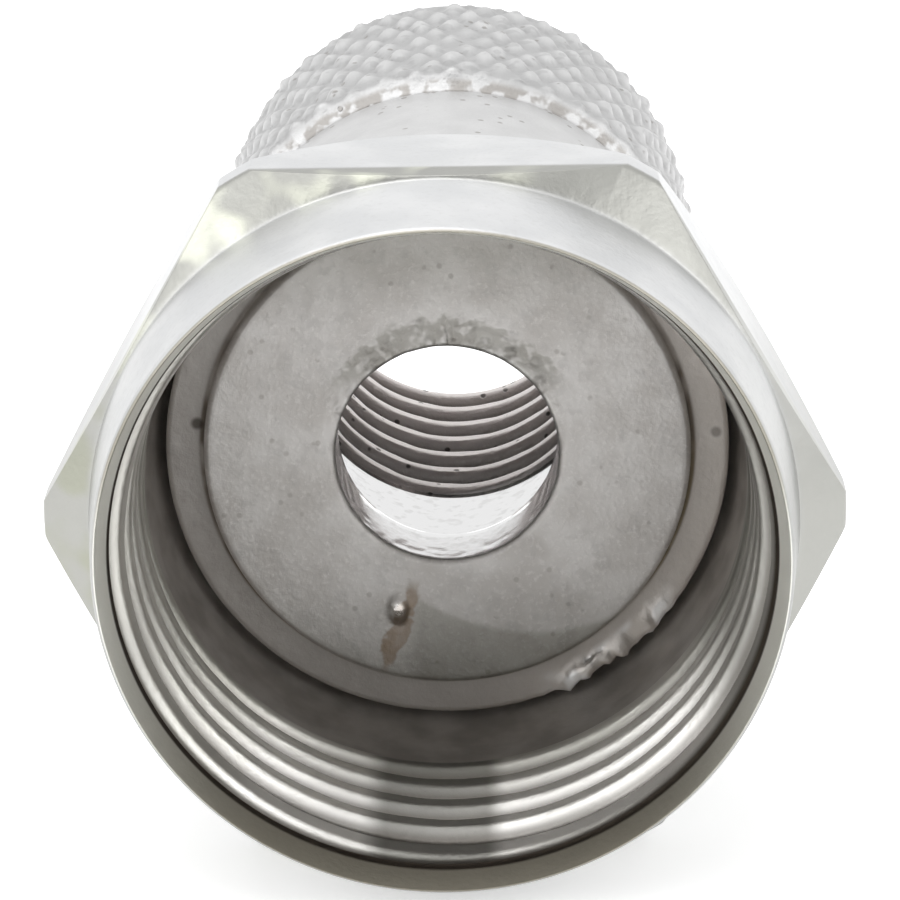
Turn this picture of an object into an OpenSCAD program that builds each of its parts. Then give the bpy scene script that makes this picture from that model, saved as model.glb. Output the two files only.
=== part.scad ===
// Twist-on coaxial plug with a captive coupling nut, lying on a flat of its hex.
// The plug's axis runs along Y, its threaded mouth opens towards -Y and the hex rests on Z = 0.
// Every depth below is measured along the axis from the nut's front face.

/* [Coupling nut] */
// Width across the flats of the hex
hex_across_flats = 11; // [10.8:0.1:11.4]
// Outer radius of the round collar at the nut's mouth
collar_mouth_r = 5.25; // [5.2:0.01:5.3]
// Outer radius of the round collar where it meets the hex
collar_root_r = 5.45; // [5.4:0.01:5.48]
// Depth at which the hex starts
hex_start = 2.1; // [1.9:0.1:2.4]
// Radius to which the corners of the hex are turned down
corner_r = 6.2; // [6.1:0.05:6.3]
// Length of the nut
nut_length = 7.7; // [7.6:0.05:7.75]

/* [Port thread] */
// Crest radius of the nut's 3/8-32 thread
port_crest_r = 4.6; // [4.45:0.01:4.65]
// Inner radius of the lip at the nut's mouth
port_mouth_r = 5.03; // [4.9:0.01:5.05]
// Depth at which the port thread starts
port_thread_start = 1.4; // [1.3:0.05:1.6]
// Depth at which the port thread ends
port_thread_end = 4; // [3.8:0.05:4.2]
// Radius of the relief behind the port thread
relief_r = 4.88; // [4.8:0.01:4.9]

/* [Flanged post] */
// Radius of the raised contact disc on the flange
disc_r = 3.92; // [3.7:0.01:4]
// Depth of the contact disc's face
disc_depth = 5.6; // [5.4:0.05:5.7]
// Height of the contact disc above the flange's ledge
disc_step = 0.3; // [0.2:0.05:0.4]
// Outer radius of the flange
flange_r = 4.55; // [4.45:0.01:4.58]
// Thickness of the flange behind its ledge
flange_thickness = 0.75; // [0.6:0.05:0.75]
// Radius of the hole for the cable's dielectric
dielectric_r = 1.8; // [1.6:0.05:1.9]
// Radius of the shank that the nut turns on
shank_r = 3.4; // [3.38:0.01:3.5]

/* [Knurled barrel] */
// Length of the whole plug
plug_length = 20; // [19.5:0.1:20.5]
// Outer radius of the barrel's smooth neck
neck_r = 4.1; // [4:0.02:4.12]
// Depth at which the knurled collar starts
knurl_start = 13.9; // [13.6:0.1:14.6]
// Radius of the knurl's peaks
knurl_peak_r = 4.5; // [4.4:0.05:4.6]
// Depth of the knurl's dimples
knurl_dimple = 0.22; // [0.1:0.02:0.24]
// Number of knurl points round the collar
knurl_points = 48; // [36:2:56]
// Number of knurl rows along the collar
knurl_rows = 9; // [6:1:10]

/* [Cable thread] */
// Crest radius of the thread that cuts into the cable's jacket
jacket_crest_r = 2.6; // [2.5:0.01:2.65]
// Depth at which the jacket thread starts
jacket_thread_start = 11.6; // [11.3:0.1:11.9]
// Depth at which the jacket thread ends
jacket_thread_end = 17.4; // [16.8:0.1:17.6]
// Radius of the plain entry at the rear
entry_r = 3.35; // [3.2:0.05:3.5]

/* [Hidden] */
$fn = 96;

past = 1;                                      // how far a cutting profile runs past a face
axis_height = hex_across_flats / 2;
hex_corner_r = hex_across_flats / sqrt(3);

running_gap = 0.05;                            // clearance between the nut and what it turns on
press_overlap = 0.01;                          // how much larger the spigot is than its bore

ledge_depth = disc_depth + disc_step;
flange_back = ledge_depth + flange_thickness;
nut_shoulder = flange_back + running_gap;      // face inside the nut that catches the flange
nut_hole_r = shank_r + running_gap;
barrel_front = nut_length + running_gap;
spigot_r = 3.3;                                // the post's tube inside the barrel
tube_bore_r = 2.85;                            // smooth bore of the post's tube
lip_back = 6.9;                                // back of the lip that the dielectric hole goes through
ledge_groove = 0.08;                           // fine groove round the foot of the contact disc

// Outline of the nut, turned: mouth collar, hex corners, rear chamfer and the tapered skirt
nut_profile = [
    [0, 0], [collar_mouth_r - 0.08, 0], [collar_mouth_r, 0.08], [collar_root_r, hex_start],
    [corner_r, hex_start + 0.5], [corner_r, hex_start + 1.2], [5.42, 4.9],
    [5.12, 6.3], [4.85, 7.1], [4.35, nut_length], [0, nut_length]
];

// Hollow of the nut: countersink, thread crest, relief, space round the flange, hole on the shank
nut_hollow = [
    [0, -past], [port_mouth_r + 0.03, -past], [port_mouth_r + 0.03, 0], [port_mouth_r, 0.45],
    [port_mouth_r - 0.11, port_thread_start - 0.4], [port_crest_r, port_thread_start],
    [port_crest_r, port_thread_end],
    [relief_r, port_thread_end + 0.2], [relief_r, 5.3],
    [flange_r + 0.14, nut_shoulder], [nut_hole_r, nut_shoulder], [nut_hole_r, nut_length - 0.15],
    [nut_hole_r + 0.15, nut_length], [nut_hole_r + 0.15, nut_length + past], [0, nut_length + past]
];

// Post: contact disc, ledge and flange, shank inside the nut, tube pressed into the barrel
post_profile = [
    [dielectric_r + 0.22, disc_depth], [disc_r - 0.06, disc_depth], [disc_r, disc_depth + 0.06],
    [disc_r, ledge_depth + ledge_groove], [disc_r + ledge_groove, ledge_depth + ledge_groove],
    [disc_r + ledge_groove, ledge_depth], [flange_r - 0.05, ledge_depth],
    [flange_r, ledge_depth + 0.05], [flange_r, flange_back - 0.15], [flange_r - 0.15, flange_back],
    [shank_r, flange_back], [shank_r, barrel_front], [spigot_r + press_overlap, barrel_front],
    [spigot_r + press_overlap, jacket_thread_start - 0.25], [spigot_r - 0.15, jacket_thread_start],
    [tube_bore_r, jacket_thread_start], [tube_bore_r, lip_back + 0.3], [dielectric_r, lip_back],
    [dielectric_r, disc_depth + 0.22]
];

// Barrel: neck, groove at the foot of the collar, core of the collar, entry, thread crest, spigot bore
core_r = knurl_peak_r - knurl_dimple - 0.1;
barrel_profile = [
    [spigot_r, barrel_front], [neck_r - 0.2, barrel_front], [neck_r, barrel_front + 0.2],
    [neck_r, knurl_start - 0.15], [neck_r - 0.15, knurl_start], [core_r, knurl_start],
    [core_r, plug_length - 0.1], [core_r - 0.1, plug_length], [entry_r + 0.15, plug_length],
    [entry_r, plug_length - 0.15], [entry_r, jacket_thread_end + 0.45],
    [jacket_crest_r, jacket_thread_end], [jacket_crest_r, jacket_thread_start],
    [spigot_r, jacket_thread_start]
];

// Lays a shape that was drawn round Z, with its front at Z = 0, along the plug's axis
module along_axis() {
    translate([0, -plug_length / 2, axis_height])
        rotate([-90, 0, 0])
            children();
}

// Radius of the knurl at a point of its lattice: peaks and dimples take turns, end rows stay low
function lattice_r(column, row) =
    row == 0 || row == 2 * knurl_rows ? knurl_peak_r - knurl_dimple
    : (column + row) % 2 == 0 ? knurl_peak_r
    : knurl_peak_r - knurl_dimple;

// Sleeve of pointed bumps. The diagonals join the dimples, so that each peak stays a pyramid.
module knurl(start, end) {
    columns = 2 * knurl_points;
    rows = 2 * knurl_rows;
    buried_r = core_r - 0.2;
    outer = [
        for (row = [0:rows])
            for (column = [0:columns - 1])
                let (angle = column * 360 / columns, r = lattice_r(column, row))
                    [r * cos(angle), r * sin(angle), start + (end - start) * row / rows]
    ];
    inner = [
        for (z = [start, end])
            for (column = [0:columns - 1])
                let (angle = column * 360 / columns)
                    [buried_r * cos(angle), buried_r * sin(angle), z]
    ];
    first_inner = len(outer);
    function at(column, row) = (column % columns) + columns * row;
    function inside(column, end_row) = first_inner + (column % columns) + columns * end_row;
    bumps = [
        for (row = [0:rows - 1])
            for (column = [0:columns - 1])
                let (
                    a = at(column, row), b = at(column + 1, row),
                    c = at(column + 1, row + 1), d = at(column, row + 1),
                    cells = (column + row) % 2 == 0 ? [[d, b, a], [d, c, b]] : [[c, b, a], [d, c, a]]
                )
                    each cells
    ];
    rings = [
        for (column = [0:columns - 1])
            each [
                [at(column, 0), at(column + 1, 0), inside(column + 1, 0), inside(column, 0)],
                [inside(column, 1), inside(column + 1, 1), at(column + 1, rows), at(column, rows)],
                [inside(column, 0), inside(column + 1, 0), inside(column + 1, 1), inside(column, 1)]
            ]
    ];
    polyhedron(concat(outer, inner), concat(bumps, rings));
}

module coupling_nut() {
    color("gainsboro")
        along_axis()
            difference() {
                intersection() {
                    cylinder(r = hex_corner_r, h = nut_length, $fn = 6);
                    rotate_extrude()
                        polygon(nut_profile);
                }
                rotate_extrude()
                    polygon(nut_hollow);
            }
}

module flange_post() {
    color("silver")
        along_axis()
            rotate_extrude()
                polygon(post_profile);
}

module knurled_barrel() {
    color("lightgray")
        along_axis()
            union() {
                rotate_extrude()
                    polygon(barrel_profile);
                knurl(knurl_start + 0.05, plug_length - 0.2);
            }
}

coupling_nut();
flange_post();
knurled_barrel();
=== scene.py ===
# %% [markdown]
# # A twist-on coaxial plug
#
# The plug has three turned pieces of nickel-plated metal: a hex coupling nut that turns freely, a flanged
# post that the nut hangs on, and a barrel with a knurled collar that is pressed onto the post. This lesson
# gives them their threads, knurl, burrs and plating, round a packed model that fixes where everything sits.

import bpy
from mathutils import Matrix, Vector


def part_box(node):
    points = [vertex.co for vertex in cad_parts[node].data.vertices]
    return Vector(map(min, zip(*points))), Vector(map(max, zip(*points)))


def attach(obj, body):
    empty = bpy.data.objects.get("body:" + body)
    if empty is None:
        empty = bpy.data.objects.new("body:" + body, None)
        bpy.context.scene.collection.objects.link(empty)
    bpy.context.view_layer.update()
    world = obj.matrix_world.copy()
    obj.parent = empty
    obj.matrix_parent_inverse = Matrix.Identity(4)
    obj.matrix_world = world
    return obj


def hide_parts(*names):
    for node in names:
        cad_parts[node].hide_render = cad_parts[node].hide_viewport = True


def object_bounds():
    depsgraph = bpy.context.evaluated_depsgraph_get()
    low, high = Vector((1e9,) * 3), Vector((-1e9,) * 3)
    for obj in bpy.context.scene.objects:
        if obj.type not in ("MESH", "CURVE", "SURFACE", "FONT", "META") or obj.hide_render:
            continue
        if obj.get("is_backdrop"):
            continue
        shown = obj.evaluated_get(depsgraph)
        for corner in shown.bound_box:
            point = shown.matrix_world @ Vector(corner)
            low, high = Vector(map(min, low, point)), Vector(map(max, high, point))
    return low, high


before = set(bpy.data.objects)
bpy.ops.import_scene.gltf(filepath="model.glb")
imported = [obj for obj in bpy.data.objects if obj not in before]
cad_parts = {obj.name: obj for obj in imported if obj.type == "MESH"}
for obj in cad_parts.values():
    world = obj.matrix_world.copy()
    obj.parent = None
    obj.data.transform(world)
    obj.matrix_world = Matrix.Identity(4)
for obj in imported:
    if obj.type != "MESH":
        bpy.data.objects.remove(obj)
cad_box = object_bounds()

# %% [markdown]
# ## One axis for every piece
#
# All three pieces are round, so it is easiest to draw each one about the Y axis, in millimetres, with its
# depth counted from the nut's front face, and to move it into place at the very end. The nut's box in the
# frame says where that face is and how high the axis lies.

# %% Read the plug's axis from the frame
import math

import bmesh
import bpy
from mathutils import Matrix, Vector, noise

MM = 0.001
nut_low, nut_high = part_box("coupling_nut")
front_y = nut_low.y
axis_z = (nut_low.z + nut_high.z) / 2
hex_apothem = (nut_high.z - nut_low.z) / 2 / MM
plug_length = (cad_box[1].y - cad_box[0].y) / MM
to_place = Matrix.Translation((0, front_y, axis_z)) @ Matrix.Scale(MM, 4)
print(f"axis {axis_z / MM:.2f} mm up, front face at y = {front_y / MM:.2f} mm, length {plug_length:.2f} mm")

# %% [markdown]
# ## Outlines with worn corners
#
# No turned edge is perfectly sharp. An outline here is a list of (radius, depth) corners, and a third
# number says how far that corner is rounded off. The corner is swapped for a short curve, which keeps the
# list as small as the drawing that a lathe hand would work from.

# %% Round the corners of an outline
def soften(outline, pieces=4):
    """Each corner (radius, depth, rounding) becomes a short quadratic curve; other corners stay."""
    points = []
    for index, corner in enumerate(outline):
        here = Vector(corner[:2])
        if len(corner) == 2:
            points.append(here)
            continue
        before = Vector(outline[index - 1][:2])
        after = Vector(outline[(index + 1) % len(outline)][:2])
        start = here + (before - here).normalized() * corner[2]
        end = here + (after - here).normalized() * corner[2]
        for step in range(pieces + 1):
            t = step / pieces
            points.append(start * (1 - t) ** 2 + here * 2 * t * (1 - t) + end * t ** 2)
    return points


def rows_between(start, end, spacing):
    """Evenly spaced corners from one (radius, depth) to another, so that a wave can be cut between them."""
    count = max(2, round((Vector(end) - Vector(start)).length / spacing))
    return [tuple(Vector(start).lerp(Vector(end), step / count)) for step in range(count + 1)]


print("a square corner becomes", len(soften([(0, 0), (1, 0, 0.1), (1, 1)])) - 2, "points")

# %% [markdown]
# ## Turning a ring
#
# A closed outline that is spun once round the axis gives a ring with no poles, and use_merge closes its
# seam. The operator leaves the new faces pointing either way, so the normals are worked out afresh.

# %% Spin an outline, and finish a piece
def turned(outline, steps):
    """A bmesh ring: the outline of (radius, depth) points, spun about the Y axis."""
    bm = bmesh.new()
    corners = [bm.verts.new((radius, depth, 0)) for radius, depth in outline]
    edges = [bm.edges.new(pair) for pair in zip(corners, corners[1:] + corners[:1])]
    bmesh.ops.spin(bm, geom=corners + edges, cent=(0, 0, 0), axis=(0, 1, 0), angle=math.tau, steps=steps,
                   use_merge=True)
    bmesh.ops.remove_doubles(bm, verts=bm.verts, dist=1e-5)
    bmesh.ops.recalc_face_normals(bm, faces=bm.faces)
    return bm


def finish_piece(bm, name, body, replaced):
    """Moves a bmesh drawn in millimetres into place and makes it a piece that rides on a body."""
    bmesh.ops.transform(bm, matrix=to_place, verts=bm.verts)
    bmesh.ops.recalc_face_normals(bm, faces=bm.faces)
    mesh = bpy.data.meshes.new(name)
    bm.to_mesh(mesh)
    bm.free()
    piece = bpy.data.objects.new(name, mesh)
    bpy.context.scene.collection.objects.link(piece)
    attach(piece, body)
    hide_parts(replaced)
    print(f"{name}: {len(mesh.vertices)} vertices, {len(mesh.polygons)} faces")
    return piece


sample = turned([(1, 0), (2, 0), (2, 1)], 8)
print("a three-sided ring in 8 steps has", len(sample.faces), "faces")
sample.free()

# %% [markdown]
# Threads, knurl, chips and burrs are all made by moving the vertices of a spun wall. It helps to read a
# vertex as a lathe does, by its radius, its depth and its angle, and to move it straight in or out.

# %% Read and move a vertex
def polar(vertex):
    """(radius, depth, angle) of a vertex, with the angle counted from +X towards +Z."""
    x, depth, z = vertex.co
    return math.hypot(x, z), depth, math.atan2(z, x)


def set_radius(vertex, radius):
    """Moves a vertex straight in or out from the axis."""
    scale = radius / math.hypot(vertex.co.x, vertex.co.z)
    vertex.co.x *= scale
    vertex.co.z *= scale


def smooth_step(low, high, value):
    """0 at low, 1 at high and beyond, smooth in between; low may be the larger of the two."""
    t = min(1, max(0, (value - low) / (high - low)))
    return t * t * (3 - 2 * t)


print("a quarter of the way up, smooth_step gives", smooth_step(0, 4, 1))

# %% [markdown]
# ## Cutting a thread
#
# A thread could be swept along a helix and joined to the wall, but the join is hard to close. It is
# simpler to spin a plain wall with many rows and then push each vertex outwards by a wave that moves one
# pitch along for each turn. The wall stays closed, and the groove fades out at both ends as on a real tap.

# %% The thread's wave
CREST_SHARE, ROOT_SHARE = 0.3, 0.14


def groove(depth, angle, pitch, start, end):
    """How deep the thread's groove is at a place on the wall, from 0 on a crest to 1 at the root.

    A crest passes the bottom of the bore at the depth start, and the groove fades in after it."""
    phase = ((depth - start) / pitch + angle / math.tau + 0.25 + CREST_SHARE / 2) % 1
    flank = (1 - CREST_SHARE - ROOT_SHARE) / 2
    if phase < CREST_SHARE:
        wave = 0
    elif phase < CREST_SHARE + flank:
        wave = (phase - CREST_SHARE) / flank
    elif phase < 1 - flank:
        wave = 1
    else:
        wave = (1 - phase) / flank
    return wave * smooth_step(start - 0.5 * pitch, start, depth) * smooth_step(end, end - 0.4 * pitch, depth)


print("groove over one pitch:", [round(groove(5 + k / 8, -math.tau / 4, 1, 3, 9), 2) for k in range(8)])

# %% [markdown]
# ## The coupling nut
#
# The nut was turned from hex bar: a round collar at the mouth, then the hex with its front shoulder and a
# long rear chamfer, and a skirt that narrows towards the barrel. It is spun as a round ring first. Six cuts
# with bisect_plane then leave the flats, which is how the bar's own flats survive the turning.

# %% Turn the nut and cut its flats
NUT_STEPS = 240
nut_thread = {"pitch": 0.794, "start": 0.95, "end": 4.2, "crest": 4.74, "depth": 0.21}
collar_r, hex_r, relief_r, lip_r, nut_hole_r = 5.25, 6.2, 4.88, 5.03, 3.45
hex_front, lip_depth, nut_back, catch_depth = 2.1, 0.5, 7.7, 6.7
crest_r = nut_thread["crest"]
nut_outline = soften([
    (collar_r - 0.06, 0, 0.03), (collar_r, 0.08, 0.05), (5.45, hex_front, 0.04),
    (hex_r, hex_front + 0.5, 0.08), (hex_r, hex_front + 1.2, 0.1),
    (5.42, 4.9, 0.15), (5.12, 6.3, 0.3), (4.85, 7.1, 0.15), (4.35, nut_back, 0.08),
    (nut_hole_r + 0.15, nut_back), (nut_hole_r, nut_back - 0.15), (nut_hole_r, catch_depth),
    (4.69, catch_depth), (relief_r, 5.3, 0.1),
    *rows_between((relief_r, 4.3), (crest_r, 4.12), 0.06),
    *rows_between((crest_r, 4.08), (crest_r + 0.05, 1.4), 0.04),
    *rows_between((crest_r + 0.06, 1.36), (5.0, 0.62), 0.04),
    (lip_r + 0.04, lip_depth + 0.06), (lip_r, lip_depth, 0.02),
])
nut = turned(nut_outline, NUT_STEPS)
for side in range(6):
    tilt = math.radians(30 + 60 * side)
    outwards = Vector((math.cos(tilt), 0, math.sin(tilt)))
    cut = bmesh.ops.bisect_plane(nut, geom=nut.verts[:] + nut.edges[:] + nut.faces[:], dist=1e-6,
                                 plane_co=outwards * hex_apothem, plane_no=outwards, clear_outer=True)
    rim = [item for item in cut["geom_cut"] if isinstance(item, bmesh.types.BMEdge)]
    bmesh.ops.holes_fill(nut, edges=rim, sides=0)
print("open edges left on the nut:", sum(edge.is_boundary for edge in nut.edges))

# %% [markdown]
# A light bevel round each flat catches the light as a worn edge does. The flats are single big faces, so
# they are found by their area, and they stay flat-shaded while everything that was turned is smooth.

# %% Wear the edges of the flats
FLAT_AREA = 3
flats = [face for face in nut.faces if face.calc_area() > FLAT_AREA]
flat_rims = list({edge for face in flats for edge in face.edges})
bmesh.ops.bevel(nut, geom=flat_rims, offset=0.05, offset_type="OFFSET", affect="EDGES", segments=2,
                profile=0.5, material=-1, clamp_overlap=True)
print("flats:", len(flats))

# %% [markdown]
# The thread's wave is now pushed into the bore. Only its crests keep the radius that the bore was spun with.

# %% Cut the port thread
for vertex in nut.verts:
    radius, depth, angle = polar(vertex)
    if radius < lip_r - 0.01 and lip_depth < depth < nut_thread["end"] + 0.05:
        cut = groove(depth, angle, nut_thread["pitch"], nut_thread["start"], nut_thread["end"])
        set_radius(vertex, min(5.08, radius + nut_thread["depth"] * cut))
for face in nut.faces:
    face.smooth = face.calc_area() < FLAT_AREA
nut_piece = finish_piece(nut, "threaded_nut", "nut", "coupling_nut")

# %% [markdown]
# ## The flanged post
#
# The post's face is what meets the socket: a raised disc with the hole for the cable's dielectric, and a
# ledge round it. Behind the face come the shank that the nut turns on and the tube inside the barrel. The
# face gets many close rows, because the marks on it are pushed into it later.

# %% Turn the post
POST_STEPS = 360
disc_depth, ledge_depth, hole_r, disc_r, flange_r, tube_r = 5.6, 5.9, 1.8, 3.92, 4.55, 2.68
post_outline = soften([
    *rows_between((hole_r + 0.06, disc_depth), (disc_r - 0.08, disc_depth), 0.06),
    (disc_r - 0.04, disc_depth + 0.01), (disc_r, disc_depth + 0.07), (disc_r + 0.02, ledge_depth - 0.06),
    (disc_r + 0.04, ledge_depth - 0.02), (disc_r + 0.09, ledge_depth),
    *rows_between((disc_r + 0.12, ledge_depth), (flange_r - 0.04, ledge_depth), 0.05),
    (flange_r, ledge_depth + 0.04), (flange_r, 6.5), (flange_r - 0.15, 6.65),
    (3.4, 6.65), (3.4, 7.75), (3.31, 7.75), (3.31, 11.35), (3.15, 11.6),
    (tube_r, 11.6), *rows_between((tube_r, 11.4), (tube_r, 7.3), 0.25),
    *rows_between((tube_r, 7.2), (hole_r, 6.9), 0.1),
    *rows_between((hole_r, 6.85), (hole_r, disc_depth + 0.06), 0.07),
])
post = turned(post_outline, POST_STEPS)
print("post:", len(post.verts), "vertices")

# %% [markdown]
# The face was cut off roughly. The hole's edge is chipped, mostly at the top. The chips could be cut with
# booleans, but noise that moves the spun vertices gives the same torn edge and leaves a clean mesh.

# %% Chip the hole's edge
def rough(place, scale, seed=0):
    """Noise from -1 to 1 at a place in millimetres; scale is the size of its lumps."""
    return noise.noise(place / scale + Vector((seed, seed * 2, seed * 3)))


def chip_width(place, upward):
    """How far the chipping reaches out from the hole's edge: wide over the hole, a hair's breadth below."""
    return 0.03 + 0.42 * max(0, upward) ** 0.7 + 0.12 * max(0, upward) * rough(place, 0.35, 1)


CHIP_STEP, CHIP_FALL, FLAKE_HEIGHT = 0.02, 0.04, 0.07
chipped = 0
for vertex in post.verts:
    radius, depth, angle = polar(vertex)
    if radius > flange_r + 0.01 or depth > disc_depth + 1:
        continue
    place = vertex.co.copy()
    width = chip_width(place, math.sin(angle))
    if depth < disc_depth + 0.05 and radius < hole_r + width:
        inward = 1 - (radius - hole_r) / width
        flake = max(0, rough(place, 0.16, 2) + 0.5 * rough(place, 0.08, 3))
        standing = FLAKE_HEIGHT * flake * smooth_step(0, 0.2, width - 0.1)
        vertex.co.y += smooth_step(0, 0.2, inward) * CHIP_STEP + CHIP_FALL * inward - standing
        chipped += 1
    elif radius < hole_r + 0.05 and depth < disc_depth + 0.5:
        set_radius(vertex, radius + 0.012 * max(0, rough(place, 0.25, 4)))
print("vertices moved by the chipping:", chipped)

# %% [markdown]
# A drop of lacquer dried on the disc, below the hole. It is a low dome pushed out of the same face.

# %% Raise the drop
DROP = Vector((-0.84, disc_depth, -2.62))
DROP_R, DROP_HEIGHT, DROP_NARROWING = 0.17, 0.09, 0.65
for vertex in post.verts:
    across = Vector((vertex.co.x - DROP.x, (vertex.co.z - DROP.z) * DROP_NARROWING))
    if abs(vertex.co.y - disc_depth) < 0.05 and across.length < DROP_R:
        vertex.co.y -= DROP_HEIGHT * math.sqrt(1 - (across.length / DROP_R) ** 2)
print("drop at", [round(c, 2) for c in DROP])

# %% [markdown]
# Burrs stand up from the rim where the cutting tool left it. The noise is taken along the rim only, so a
# burr is a short curl and not a heap of grains.

# %% Raise the burrs on the ledge's rim
BURR_MIDDLE, BURR_SPREAD = math.radians(-53), math.radians(15)
BURR_HEIGHT, RIM_HEIGHT, BURR_LEAN = 0.2, 0.03, 0.1
for vertex in post.verts:
    radius, depth, angle = polar(vertex)
    if not (ledge_depth - 0.01 < depth < ledge_depth + 0.06 and radius > disc_r + 0.2):
        continue
    along = Vector((math.cos(angle), math.sin(angle), 0)) * flange_r
    reach = math.exp(-((angle - BURR_MIDDLE) / BURR_SPREAD) ** 4)
    lump = max(0, 0.4 + 1.2 * rough(along, 0.6, 5) + 0.6 * rough(along, 0.12, 6))
    curl = smooth_step(flange_r - 0.34 - 0.3 * rough(along, 0.2, 9), flange_r - 0.14, radius)
    vertex.co.y -= (BURR_HEIGHT * reach * lump + RIM_HEIGHT * max(0, rough(along, 0.2, 10))) * curl
    set_radius(vertex, radius + BURR_LEAN * reach * curl * max(-0.6, min(1, rough(along, 0.2, 7) * 2)))
for face in post.faces:
    face.smooth = True
post_piece = finish_piece(post, "flanged_post", "plug", "flange_post")

# %% [markdown]
# ## The knurled barrel
#
# The barrel has a smooth neck, a knurled collar, a plain entry at the rear and the thread that cuts into the
# cable's jacket. It is spun with close rows wherever the knurl or the thread will need them.

# %% Turn the barrel
BARREL_STEPS = 392
neck_r, knurl_start, knurl_end = 4.1, 13.9, plug_length - 0.2
knurl = {"points": 46, "row": 0.68, "peak": 4.49, "dimple": 4.34}
cable_thread = {"pitch": 0.92, "start": 11.85, "end": 17.4, "crest": 2.6, "depth": 0.36}
barrel_outline = soften([
    (neck_r - 0.2, 7.75), (neck_r, 7.95, 0.05),
    *rows_between((neck_r, 8.2), (neck_r, knurl_start - 0.2), 0.8),
    (neck_r - 0.05, knurl_start - 0.12), (neck_r + 0.02, knurl_start - 0.03),
    (knurl["dimple"] - 0.03, knurl_start + 0.1),
    *rows_between((knurl["dimple"], knurl_start + 0.16), (knurl["dimple"], knurl_end), 0.07),
    (4.18, plug_length - 0.1), (4.08, plug_length), (3.5, plug_length), (3.35, plug_length - 0.15, 0.05),
    (3.35, 17.85, 0.05), *rows_between((2.6, 17.4), (2.6, 11.6), 0.065), (3.3, 11.6), (3.3, 7.75),
])
barrel = turned(barrel_outline, BARREL_STEPS)
print("barrel:", len(barrel.verts), "vertices")

# %% [markdown]
# Knurling wheels press two sets of slanting grooves that cross. Two cosine waves that lean opposite ways
# stand for them, and the root of their product gives rounded points between the grooves. The cable thread
# is coarser than the port's and uses the same groove wave.

# %% Press the knurl and cut the cable thread
def knurl_height(place, depth, angle):
    """1 on a point of the knurl, 0 in a groove; the noise makes the wheel's track wander a little."""
    around = (angle + 0.02 * rough(place, 0.8, 11)) * knurl["points"] / math.tau
    along = (depth - knurl_start + 0.12 * rough(place, 0.6, 12)) / knurl["row"]
    waves = [0.5 - 0.5 * math.cos(math.tau * (around + way * along)) for way in (0.5, -0.5)]
    return math.sqrt(waves[0] * waves[1])


for vertex in barrel.verts:
    radius, depth, angle = polar(vertex)
    if radius > knurl["dimple"] - 0.01 and depth > knurl_start + 0.05:
        ends = smooth_step(knurl_start + 0.02, knurl_start + 0.25, depth)
        ends *= smooth_step(knurl_end, knurl_end - 0.2, depth)
        worn = 0.75 + 0.5 * rough(vertex.co, 0.45, 8)
        height = min(1, worn * knurl_height(vertex.co, depth, angle))
        set_radius(vertex, radius + (knurl["peak"] - knurl["dimple"]) * ends * height)
    elif radius < cable_thread["crest"] + 0.02 and depth < cable_thread["end"] - 0.01:
        cut = groove(depth, angle, cable_thread["pitch"], cable_thread["start"], cable_thread["end"])
        set_radius(vertex, radius + cable_thread["depth"] * cut)
for face in barrel.faces:
    face.smooth = True
barrel_piece = finish_piece(barrel, "knurled_sleeve", "plug", "knurled_barrel")

# %% [markdown]
# ## Writing shader maths as sums
#
# A node tree for plating soon has dozens of Math nodes. Wrapping a socket in a small class lets Python's
# own operators add them, so a mask reads like the sum that it is.

# %% A socket that can be used in sums
class Wire:
    """An output socket. Sums of wires and numbers add Math nodes; add() makes any other node."""

    def __init__(self, tree, socket=None):
        self.tree = tree
        self.socket = socket

    def add(self, kind, settings=None, inputs=None, output=0):
        node = self.tree.nodes.new(kind)
        for name, value in (settings or {}).items():
            setattr(node, name, value)
        for key, value in (inputs or {}).items():
            if isinstance(value, Wire):
                self.tree.links.new(value.socket, node.inputs[key])
            else:
                node.inputs[key].default_value = value
        return Wire(self.tree, node.outputs[output])

    def math(self, operation, first, second):
        return self.add("ShaderNodeMath", {"operation": operation}, {0: first, 1: second})

    def __add__(self, other):
        return self.math("ADD", self, other)

    def __sub__(self, other):
        return self.math("SUBTRACT", self, other)

    def __mul__(self, other):
        return self.math("MULTIPLY", self, other)

    def __truediv__(self, other):
        return self.math("DIVIDE", self, other)

    def __pow__(self, other):
        return self.math("POWER", self, other)

    def __rsub__(self, other):
        return self.math("SUBTRACT", other, self)

    def __rtruediv__(self, other):
        return self.math("DIVIDE", other, self)

    __radd__ = __add__
    __rmul__ = __mul__


print("reflected operators:", [name for name in vars(Wire) if name.startswith("__r")])

# %% [markdown]
# The helpers below are the words that the masks are written in. ramp() turns a stretch of values into 0
# to 1, and grain() and spots() are noise of a stated size, so a mask can be checked with a ruler.

# %% Words for masks
def ramp(value, low, high):
    """0 below low and 1 above high, or the other way round when low is larger, smooth in between."""
    return value.add("ShaderNodeMapRange", {"interpolation_type": "SMOOTHSTEP"},
                     {"Value": value, "From Min": low, "From Max": high})


def grain(place, size, detail=2.0, roughness=0.55):
    """Soft noise about 0.5, with lumps of this size in millimetres."""
    return place.add("ShaderNodeTexNoise", {}, {"Vector": place, "Scale": 1 / size, "Detail": detail,
                                                "Roughness": roughness})


def spots(place, size, share):
    """1 in scattered spots of this size, 0 elsewhere; share is about how much of the surface they take."""
    cells = place.add("ShaderNodeTexVoronoi", {}, {"Vector": place, "Scale": 1 / size}, output="Distance")
    chance = grain(place, size * 2.3, 1.0)
    return ramp(cells, share, share * 0.5) * ramp(chance, 0.5, 0.56)


print("masks are made by:", ramp.__name__, grain.__name__, spots.__name__)

# %% [markdown]
# Colours go through Mix nodes, because a Math node would turn them grey. blend() lays one colour over
# another, and darken() multiplies, which keeps the marks that are already there.

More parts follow.
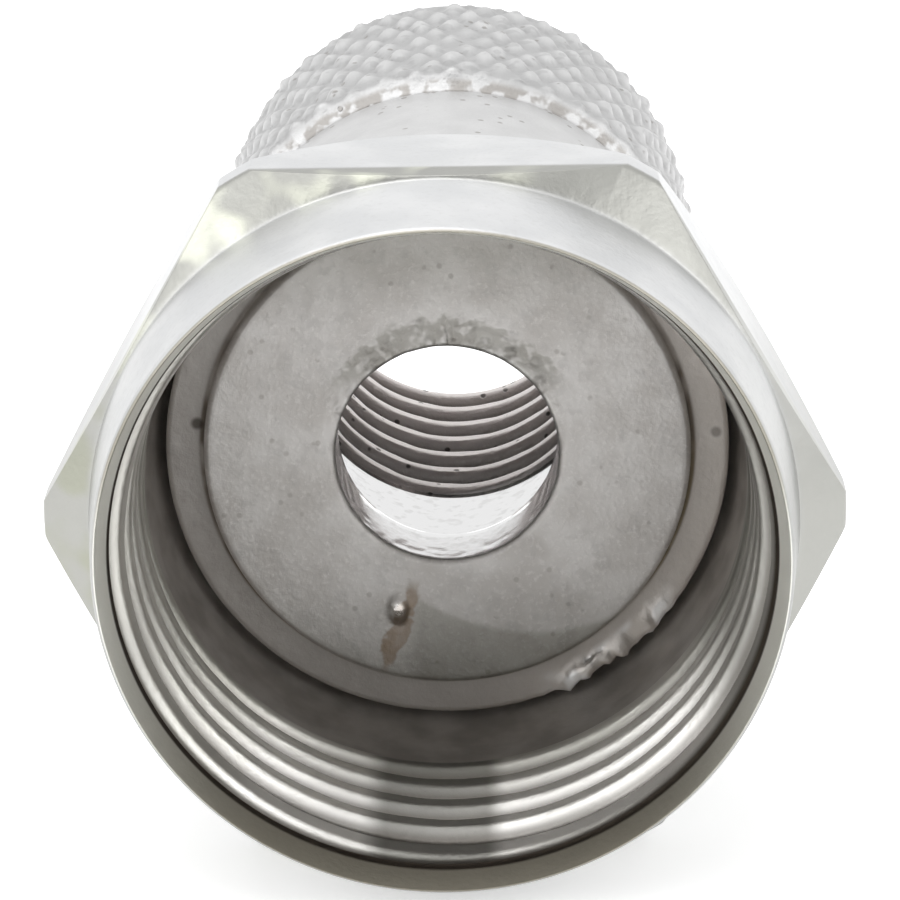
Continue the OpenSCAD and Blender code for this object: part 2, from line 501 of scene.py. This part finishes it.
# %% Words for colours
def darken(mask, colour, level):
    """The colour times a level where the mask is 1."""
    return mask.add("ShaderNodeMix", {"data_type": "RGBA", "blend_type": "MULTIPLY"},
                    {"Factor": mask, "A": colour, "B": (level, level, level * 0.97, 1)}, output="Result")


def blend(mask, under, over):
    """A colour: over where the mask is 1, under where it is 0."""
    return mask.add("ShaderNodeMix", {"data_type": "RGBA"}, {"Factor": mask, "A": under, "B": over},
                    output="Result")


def grey(level, warmth=0.0):
    """A grey with a little warmth, as four numbers."""
    return (level * (1 + warmth), level, level * (1 - warmth), 1)


print("a warm middle grey:", grey(0.5, 0.1))

# %% [markdown]
# Each of the three metals starts from the same few nodes. Object coordinates are turned back into the
# millimetres that the pieces were drawn in, so a mask can use the same radii and depths as the outlines.

# %% Start and finish a metal
def plating(name):
    """A new metal material: returns it, its shader, and wires for the place, x, depth, z and radius."""
    material = bpy.data.materials.new(name)
    material.use_nodes = True
    tree = material.node_tree
    shader = tree.nodes["Principled BSDF"]
    shader.inputs["Metallic"].default_value = 1.0
    start = Wire(tree)
    coordinates = start.add("ShaderNodeTexCoord", output="Object")
    place = start.add("ShaderNodeMapping", {}, {"Vector": coordinates, "Scale": (1 / MM,) * 3,
                                                "Location": (0, -front_y / MM, -axis_z / MM)})
    x, depth, z = (start.add("ShaderNodeSeparateXYZ", {}, {"Vector": place}, output=axis) for axis in "XYZ")
    radius = (x * x + z * z) ** 0.5
    return material, shader, place, x, depth, z, radius


def connect(shader, colour, roughness, height, strength):
    """Feeds the shader its varying colour, roughness and bump; strength is the bump's, in millimetres."""
    links = shader.id_data.links
    links.new(colour.socket, shader.inputs["Base Color"])
    links.new(roughness.socket, shader.inputs["Roughness"])
    bump = height.add("ShaderNodeBump", {}, {"Height": height, "Distance": strength * MM, "Strength": 1.0})
    links.new(bump.socket, shader.inputs["Normal"])


print("shader coordinates: one unit is", MM, "m, counted from the mouth")

# %% [markdown]
# ## The nut's plating
#
# Bright nickel goes satin with handling. Before any colour is laid, each zone of the nut gets a mask: a
# number that is 1 inside the zone and 0 outside. Two ramps multiplied, one of the radius and one of the
# depth, are enough for every zone of a turned piece. The skirt is nearly as narrow as the hollow, so the
# radius is raised towards the rear before the hollow's ramp reads it.

# %% Zones of the nut
nut_metal, shader, place, x, depth, z, radius = plating("satin_nickel_nut")
bevel = ramp(radius, collar_r - 0.035, collar_r - 0.06) * ramp(depth, lip_depth + 0.06, lip_depth)
skirt_clear = radius + 0.35 * ramp(depth, 5.4, 6.6)
hollow = ramp(skirt_clear, 5.12, 5.09) * ramp(depth, 6.9, 6.75)
inside = hollow * ramp(depth, lip_depth, lip_depth + 0.04)
relief = hollow * ramp(depth, 4.1, 4.25)
crest_line = crest_r + 0.05 * ramp(depth, 4.1, 1.4) + 0.2 * ramp(depth, 1.4, 0.6)
in_groove = ramp(radius - crest_line, 0.05, 0.17) * inside * (1 - relief)
lip_line = ramp(radius, 5.1, 5.07) * ramp(depth, 0.44, 0.5) * ramp(depth, 0.8, 0.62)
edge_line = ramp(radius, collar_r - 0.015, collar_r - 0.04) * ramp(depth, 0.1, 0.04) * ramp(z, 0.3, 2.0)
shoulder = ramp(depth, hex_front - 0.08, hex_front + 0.06) * ramp(depth, 2.75, 2.6) * ramp(radius, 5.3, 5.4)
shaded_low_side = ramp(z, 4.6, 0.2) * (1 - inside)
print("zones ready for", nut_metal.name)

# %% [markdown]
# The collar and flats are almost white and only slightly clouded. The hex's shoulder was left as it came
# off the tool, greener and dented; painted shade darkens its ears towards the top, and painted highlights
# speckle it on the left. The low side is painted darker as shade, and the rim's bevel has a painted
# highlight at the top and painted shade at the bottom.

# %% Nickel for the nut's outside
clouds = grain(place, 1.4)
dents = grain(place, 0.9, 1.0)
fine = grain(place, 0.1, 3.0)
colour = blend(ramp(clouds, 0.35, 0.65), grey(0.74, -0.01), grey(0.82, -0.005))
colour = blend(ramp(fine, 0.5, 0.75) * 0.2, colour, grey(0.6, 0.01))
# Painted highlights on the shoulder, mostly on the left, and painted shade on the ears towards the top.
painted_glints = ramp(dents, 0.5, 0.68)
ear_tone_and_shade = blend(ramp(z, 1.5, 4.0), (0.72, 0.72, 0.7, 1), (0.4, 0.4, 0.375, 1))
colour = blend(shoulder, colour, blend(painted_glints * ramp(x, 2.0, 0.5), ear_tone_and_shade, (0.66, 0.67, 0.58, 1)))
# Painted shade: the low side is darker.
colour = darken(shaded_low_side, colour, 0.6)
# Painted highlight at the top of the rim's bevel, painted shade at its bottom.
rim_highlight_and_shade = blend(ramp(z, -0.5, -4.6), (0.93, 0.93, 0.87, 1), (0.32, 0.3, 0.25, 1))
colour = blend(bevel, colour, rim_highlight_and_shade)
print("outside of the nut coloured")

# %% [markdown]
# Inside, the thread's crests stay bright and its grooves are painted dark brown. A painted dark reflection
# lies at the very bottom, painted shade darkens the lower right and left walls, the thread darkens towards
# its rear end, and the relief behind it is a darker, browner grey.

# %% Nickel for the nut's inside
colour = blend(inside, colour, blend(clouds, grey(0.9, 0.02), (0.98, 0.97, 0.93, 1)))
# A painted dark reflection at the very bottom, and painted shade on the lower right and left walls.
dark_reflection_bottom = ramp(x, -1.45, -0.95) * ramp(x, 0.95, 0.55) * ramp(z, -2.5, -3.5)
rear_end = ramp(depth, 2.8, 3.9)
shaded_right_wall = ramp(x, 2.8, 4.2) * ramp(z, -3.4, -1.8)
shaded_left_wall = ramp(x, -2.2, -3.4) * ramp(z, -4.4, -3.2)
for stretch, level in [(dark_reflection_bottom, 0.36), (rear_end, 0.7), (shaded_right_wall, 0.5), (shaded_left_wall, 0.75)]:
    colour = darken(stretch * inside, colour, level)
colour = blend(in_groove * 0.75, colour, grey(0.14, 0.1))
colour = blend(lip_line * ramp(grain(place, 0.5), 0.05, 0.3), colour, grey(0.1, 0.18))
colour = blend(edge_line * 0.7, colour, (0.3, 0.27, 0.2, 1))
relief_tone = blend(ramp(grain(place, 0.7), 0.3, 0.7), grey(0.42, 0.06), grey(0.56, 0.05))
colour = blend(relief, colour, relief_tone)
nut_roughness = 0.28 + fine * 0.12 + clouds * 0.08 + relief * 0.2 + bevel * 0.15
connect(shader, colour, nut_roughness, fine * 0.3 + clouds * 0.2 + dents * shoulder * 2, 0.02)
nut_piece.data.materials.append(nut_metal)
print("made", nut_metal.name)

# %% [markdown]
# ## The post's plating
#
# The post's face is dull and granular, a warm grey, and the ledge is darker than the disc. The zones are
# masks again. A mark that sits at one place on the face, such as a speck, is the distance to that place
# put through a ramp, so nothing has to be painted by hand.

# %% Zones of the post
def near(x, z, middle, size):
    """1 at a place on the disc, fading to 0 at this distance from it, in millimetres."""
    across = x - middle[0]
    along = z - middle[1]
    return ramp((across * across + along * along) ** 0.5, size, size * 0.4)


post_metal, shader, place, x, depth, z, radius = plating("dull_nickel_post")
face_side = ramp(depth, 6.3, 6.1)
ledge = ramp(radius, disc_r + 0.02, disc_r + 0.08) * face_side
foot_line = ramp(radius, disc_r - 0.02, disc_r + 0.01) * ramp(radius, disc_r + 0.11, disc_r + 0.05)
foot_line = foot_line * ramp(depth, disc_depth + 0.08, disc_depth + 0.2) * face_side
in_tube = ramp(radius, 1.96, 1.86) * ramp(depth, 5.64, 5.7) + ramp(depth, 6.7, 6.9)
clouds = grain(place, 0.9)
fine = grain(place, 0.09, 3.0, 0.7)
lumps = grain(place, 0.25, 2.0)
specks = spots(place, 0.3, 0.2)
print("zones ready for", post_metal.name)

# %% [markdown]
# Noise of three sizes lies over the disc: broad clouds, lumps of a quarter of a millimetre and fine bright
# grain. Painted shade darkens the disc towards the bottom, a painted shadow of the nut lies below a bowed
# line, and a painted shadow band lies under the collar's rim at the top. Over the hole the chipped metal is
# painted darker as shade, with bright flakes in it.

# %% Nickel for the disc and the ledge
colour = blend(ramp(clouds, 0.3, 0.7), grey(0.56, 0.04), grey(0.68, 0.025))
colour = blend(ramp(lumps, 0.5, 0.7) * 0.35, colour, grey(0.48, 0.03))
colour = blend(ramp(fine, 0.5, 0.7) * 0.4, colour, grey(0.86, 0.02))
colour = blend(specks * 0.4, colour, grey(0.3, 0.08))
ledge_tone = blend(ramp(x, -4.0, 3.5), grey(0.34, 0.06), grey(0.5, 0.07))
colour = blend(ledge * 0.8, colour, ledge_tone)
# Painted shade: the disc darkens towards the bottom, and a painted shadow of the nut lies below a bowed
# line.
colour = darken(ramp(z, -1.8, -4.2) * (1 - ledge), colour, 0.64)
shadow_bow = z + 3.1 - 0.17 * (x - 1.4) * (x - 1.4)
colour = darken(ramp(shadow_bow, 0.1, -0.05) * ramp(x, -0.8, -0.4) * (1 - ledge), colour, 0.78)
chips = ramp(radius + 0.5 * (lumps - 0.5), hole_r + 0.5, hole_r + 0.4) * ramp(z, 0.9, 1.5) * face_side
# Painted shade in the chipped hollow over the hole; the bright flakes come next.
colour = darken(chips, colour, 0.72)
colour = blend(chips * ramp(grain(place, 0.2, 1.0), 0.5, 0.68) * 0.55, colour, grey(0.8, 0.02))
# Painted shadow band under the collar's rim, across the top of the disc.
colour = darken(ramp(z, 2.0, 3.6) * face_side, colour, 0.72)
print("disc and ledge coloured")

# %% [markdown]
# A brown line of painted shade lies in the crease at the foot of the disc, broken by noise, fading towards
# the lower right and paler on the right. A brown streak runs down from the hole past the drop. It is an
# ellipse whose edge is made ragged by noise.

# %% Painted shade at the disc's foot, and the streak
# Painted shade in the crease at the foot of the disc, broken by noise and fading towards the lower right.
foot_shade_reach = ramp(grain(place, 1.1), 0.35, 0.55) * (1 - near(x, z, (2.2, -3.3), 2.2)) * ramp(z, 2.4, 1.2)
right_foot = near(x, z, (3.75, -1.2), 1.7)
colour = blend(foot_line * (0.1 + 0.7 * foot_shade_reach), colour, grey(0.12, 0.25))
colour = blend(foot_line * right_foot * 0.6, colour, (0.3, 0.25, 0.16, 1))
lean = x * 0.94 - z * 0.34
across_streak = (lean - 0.21 + 0.35 * (lumps - 0.5)) / 0.17
along_streak = (z + 2.95) / 0.75
streak = ramp((across_streak * across_streak + along_streak * along_streak) ** 0.5, 1.15, 0.75)
stain = streak * ramp(depth, 5.75, 5.68) * (1 - in_tube)
colour = blend(stain * (0.45 + 0.5 * lumps), colour, (0.22, 0.15, 0.09, 1))
print("painted_foot_shade and streak laid on")

# %% [markdown]
# The drop is smoother than the face and carries a painted highlight, two dark specks sit on the ledge,
# and the burrs are bare bright metal. The tube is brighter and smoother than the face, so it mirrors the
# daylight that falls in from the rear.

# %% Drop, specks, burrs and tube
# Painted highlight on the drop, over its smoother finish.
drop = near(x, z, (DROP.x, DROP.z), 0.16)
colour = blend(drop * 0.5, colour, grey(0.8, 0.04))
ledge_specks = near(x, z, (-4.03, 0.48), 0.14) * 0.8 + near(x, z, (4.34, 0.23), 0.12) * 0.5
colour = blend(ledge_specks, colour, grey(0.05, 0.2))
burr = near(x, z, (2.75, -3.55), 1.6) * ramp(radius, 4.12, 4.3) * face_side
colour = blend(burr * ramp(grain(place, 0.5, 1.0), 0.4, 0.6), colour, grey(0.84, -0.01))
pale_wall = blend(ramp(lumps, 0.5, 0.66) * 0.35, grey(0.8, 0.0), grey(0.5, 0.02))
colour = blend(in_tube, colour, pale_wall)
post_roughness = 0.5 + fine * 0.2 - in_tube * 0.48 - drop * 0.4 - stain * 0.1 - burr * 0.15
connect(shader, colour, post_roughness, (fine * 0.4 + lumps * 0.6) * (1 - 0.85 * in_tube), 0.02)
post_piece.data.materials.append(post_metal)
print("made", post_metal.name)

# %% [markdown]
# ## The barrel's plating
#
# The barrel is the palest of the three, matt and slightly pitted. The knurl's dimples are a little darker
# than its points, and a dark brown line of painted shade lies at the foot of the collar.

# %% Nickel for the neck and the knurl
barrel_metal, shader, place, x, depth, z, radius = plating("matt_nickel_barrel")
bore = ramp(radius, 3.36, 3.3)
clouds = grain(place, 0.8)
fine = grain(place, 0.09, 3.0, 0.65)
pits = spots(place, 0.3, 0.22)
colour = blend(ramp(clouds, 0.3, 0.7), grey(0.67, 0.0), grey(0.72, 0.0))
in_knurl = ramp(depth, knurl_start, knurl_start + 0.15) * (1 - bore)
colour = blend(in_knurl * ramp(radius, 4.45, 4.36) * 0.5, colour, grey(0.42, 0.0))
colour = blend(in_knurl * ramp(grain(place, 0.3, 1.0), 0.52, 0.64) * 0.35, colour, grey(0.42, 0.0))
# Painted shade: a dark brown line at the foot of the collar.
collar_foot_shade = ramp(depth, knurl_start - 0.24, knurl_start - 0.14)
collar_foot_shade *= ramp(depth, knurl_start + 0.1, knurl_start + 0.02)
colour = blend(collar_foot_shade * ramp(grain(place, 0.3), 0.42, 0.56) * (1 - bore) * 0.65, colour, grey(0.26, 0.1))
print("neck and knurl coloured")

# %% [markdown]
# The pits lie over everything. The bore is paler, with a faint pink tinge on the crests of the cable thread,
# its grooves painted dark brown, and darker pits.

# %% Nickel for the bore
colour = blend(pits * 0.6, colour, grey(0.26, 0.08))
cable_groove = bore * ramp(radius, 2.66, 2.8) * ramp(depth, 17.6, 17.4)
colour = blend(bore, colour, (0.9, 0.85, 0.83, 1))
colour = blend(cable_groove * 0.78, colour, grey(0.18, 0.14))
colour = blend(bore * pits * 0.8, colour, grey(0.05, 0.15))
barrel_roughness = 0.4 + fine * 0.2
connect(shader, colour, barrel_roughness, fine * 0.6 + clouds * 0.4 - pits * 0.5, 0.025)
barrel_piece.data.materials.append(barrel_metal)
print("made", barrel_metal.name)

# %% [markdown]
# ## The floor
#
# The plug lies on a white floor that shows its soft shadow. The floor belongs to the stage and not to the
# plug, so it is marked as a backdrop, which keeps it out of the plug's box, and it lies a hair's breadth
# lower than the hex's flat.

# %% Lay the floor
floor_mesh = bpy.data.meshes.new("floor")
floor_bm = bmesh.new()
bmesh.ops.create_grid(floor_bm, x_segments=1, y_segments=1, size=3)
floor_bm.to_mesh(floor_mesh)
floor_bm.free()
floor = bpy.data.objects.new("floor", floor_mesh)
floor.location.z = -0.02 * MM
bpy.context.scene.collection.objects.link(floor)
floor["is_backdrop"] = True
print("floor:", len(floor_mesh.polygons), "face")

# %% [markdown]
# A diffuse floor alone would look grey. It also glows a little, but only where the camera or a reflection
# looks at it, so the glow lights nothing: the plug gets its light from the world and the lamp.

# %% Paint the floor
floor_material = bpy.data.materials.new("white_floor")
floor_material.use_nodes = True
tree = floor_material.node_tree
tree.nodes.clear()
start = Wire(tree)
seen = (start.add("ShaderNodeLightPath", output="Is Camera Ray")
        + start.add("ShaderNodeLightPath", output="Is Glossy Ray"))
paint = start.add("ShaderNodeBsdfDiffuse", {}, {"Color": (0.85, 0.85, 0.85, 1)})
glow = start.add("ShaderNodeEmission", {}, {"Color": (1, 1, 1, 1), "Strength": seen * 0.4})
both = start.add("ShaderNodeAddShader", {}, {0: paint, 1: glow})
out = tree.nodes.new("ShaderNodeOutputMaterial")
tree.links.new(both.socket, out.inputs["Surface"])
floor_mesh.materials.append(floor_material)
print("made", floor_material.name)

# %% [markdown]
# ## The world and the lamp
#
# Metal shows what is round it, so the world matters more than any lamp. It is white above and behind. The
# front is greyer in the middle and near the ground, as a room is behind whoever holds the plug, with a
# bright window on either side that draws the long gleams in the thread.

# %% Colour the world by direction
world = bpy.data.worlds.new("soft_studio")
bpy.context.scene.world = world
world.use_nodes = True
tree = world.node_tree
tree.nodes.clear()
start = Wire(tree)
direction = start.add("ShaderNodeTexCoord", output="Generated")
toward_x, toward_y, toward_z = (start.add("ShaderNodeSeparateXYZ", {}, {"Vector": direction}, output=axis)
                                for axis in "XYZ")
front_side = ramp(toward_y, 0.05, -0.5)
middle = ramp(toward_x * toward_x, 0.2, 0.05)
overhead = ramp(toward_z, 0.72, 0.92)
low_down = ramp(toward_z, 0.3, 0.1)
side_boxes = ramp(toward_x * toward_x, 0.14, 0.26) * ramp(toward_z, 0.15, 0.3) * ramp(toward_z, 0.8, 0.6)
dim_front = front_side * (1 - overhead) * (middle + low_down * (1 - middle)) * 0.8
level = 1.0 - dim_front + front_side * side_boxes * 1.6
seen = start.add("ShaderNodeLightPath", output="Is Camera Ray")
strength = seen + (1 - seen) * level
background = start.add("ShaderNodeBackground", {}, {"Color": (1, 1, 1, 1), "Strength": strength})
out = tree.nodes.new("ShaderNodeOutputWorld")
tree.links.new(background.socket, out.inputs["Surface"])
print("world:", len(tree.nodes), "nodes")

# %% [markdown]
# One large, faint lamp hangs overhead. It is there for the floor's soft shadow more than for its light.

# %% Hang one soft lamp
def softbox(name, place, aim, size, watts):
    """A square area lamp at a place, turned to face a point."""
    lamp = bpy.data.lights.new(name, "AREA")
    lamp.size = size
    lamp.energy = watts
    holder = bpy.data.objects.new(name, lamp)
    holder.location = place
    holder.rotation_mode = "QUATERNION"
    holder.rotation_quaternion = (Vector(aim) - Vector(place)).to_track_quat("-Z", "Y")
    bpy.context.scene.collection.objects.link(holder)


softbox("top_box", (-0.03, -0.02, 0.16), (0, 0, 0.005), 0.12, 0.05)

# %% [markdown]
# ## The camera
#
# The camera stands close in front of the mouth and a little above it, with a long lens, so the nut looms
# large and the knurled collar peeps over it.

# %% Place the camera
camera_place = Vector((1.26, -60.5, 21.3))
pitch, yaw, roll = math.radians(17.8), math.radians(-1.05), math.radians(-1.04)
camera_data = bpy.data.cameras.new("camera")
camera_data.sensor_width = 36
camera_data.lens = 172.6
camera_data.clip_start = 0.005
camera = bpy.data.objects.new("camera", camera_data)
bpy.context.scene.collection.objects.link(camera)
forward = Vector((math.sin(yaw) * math.cos(pitch), math.cos(yaw) * math.cos(pitch), -math.sin(pitch)))
right = forward.cross(Vector((0, 0, 1))).normalized()
up = right.cross(forward)
rolled_right = right * math.cos(roll) + up * math.sin(roll)
rolled_up = up * math.cos(roll) - right * math.sin(roll)
turn = Matrix((rolled_right, rolled_up, -forward)).transposed().to_4x4()
camera.matrix_world = Matrix.Translation(to_place @ camera_place) @ turn
bpy.context.scene.camera = camera
bpy.context.scene.view_settings.view_transform = "Standard"
print("camera", [round(value / MM, 1) for value in camera.location])

# %% [markdown]
# ## Measuring the result
#
# The finished pieces must stay inside the box of the packed model. The difference between the two boxes'
# corners is printed.

# %% Print the difference between the boxes
visual_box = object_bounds()
growth = [[round((v - c) / MM, 3) for v, c in zip(*pair)] for pair in zip(visual_box, cad_box)]
print("visual box grows by (mm)", growth)
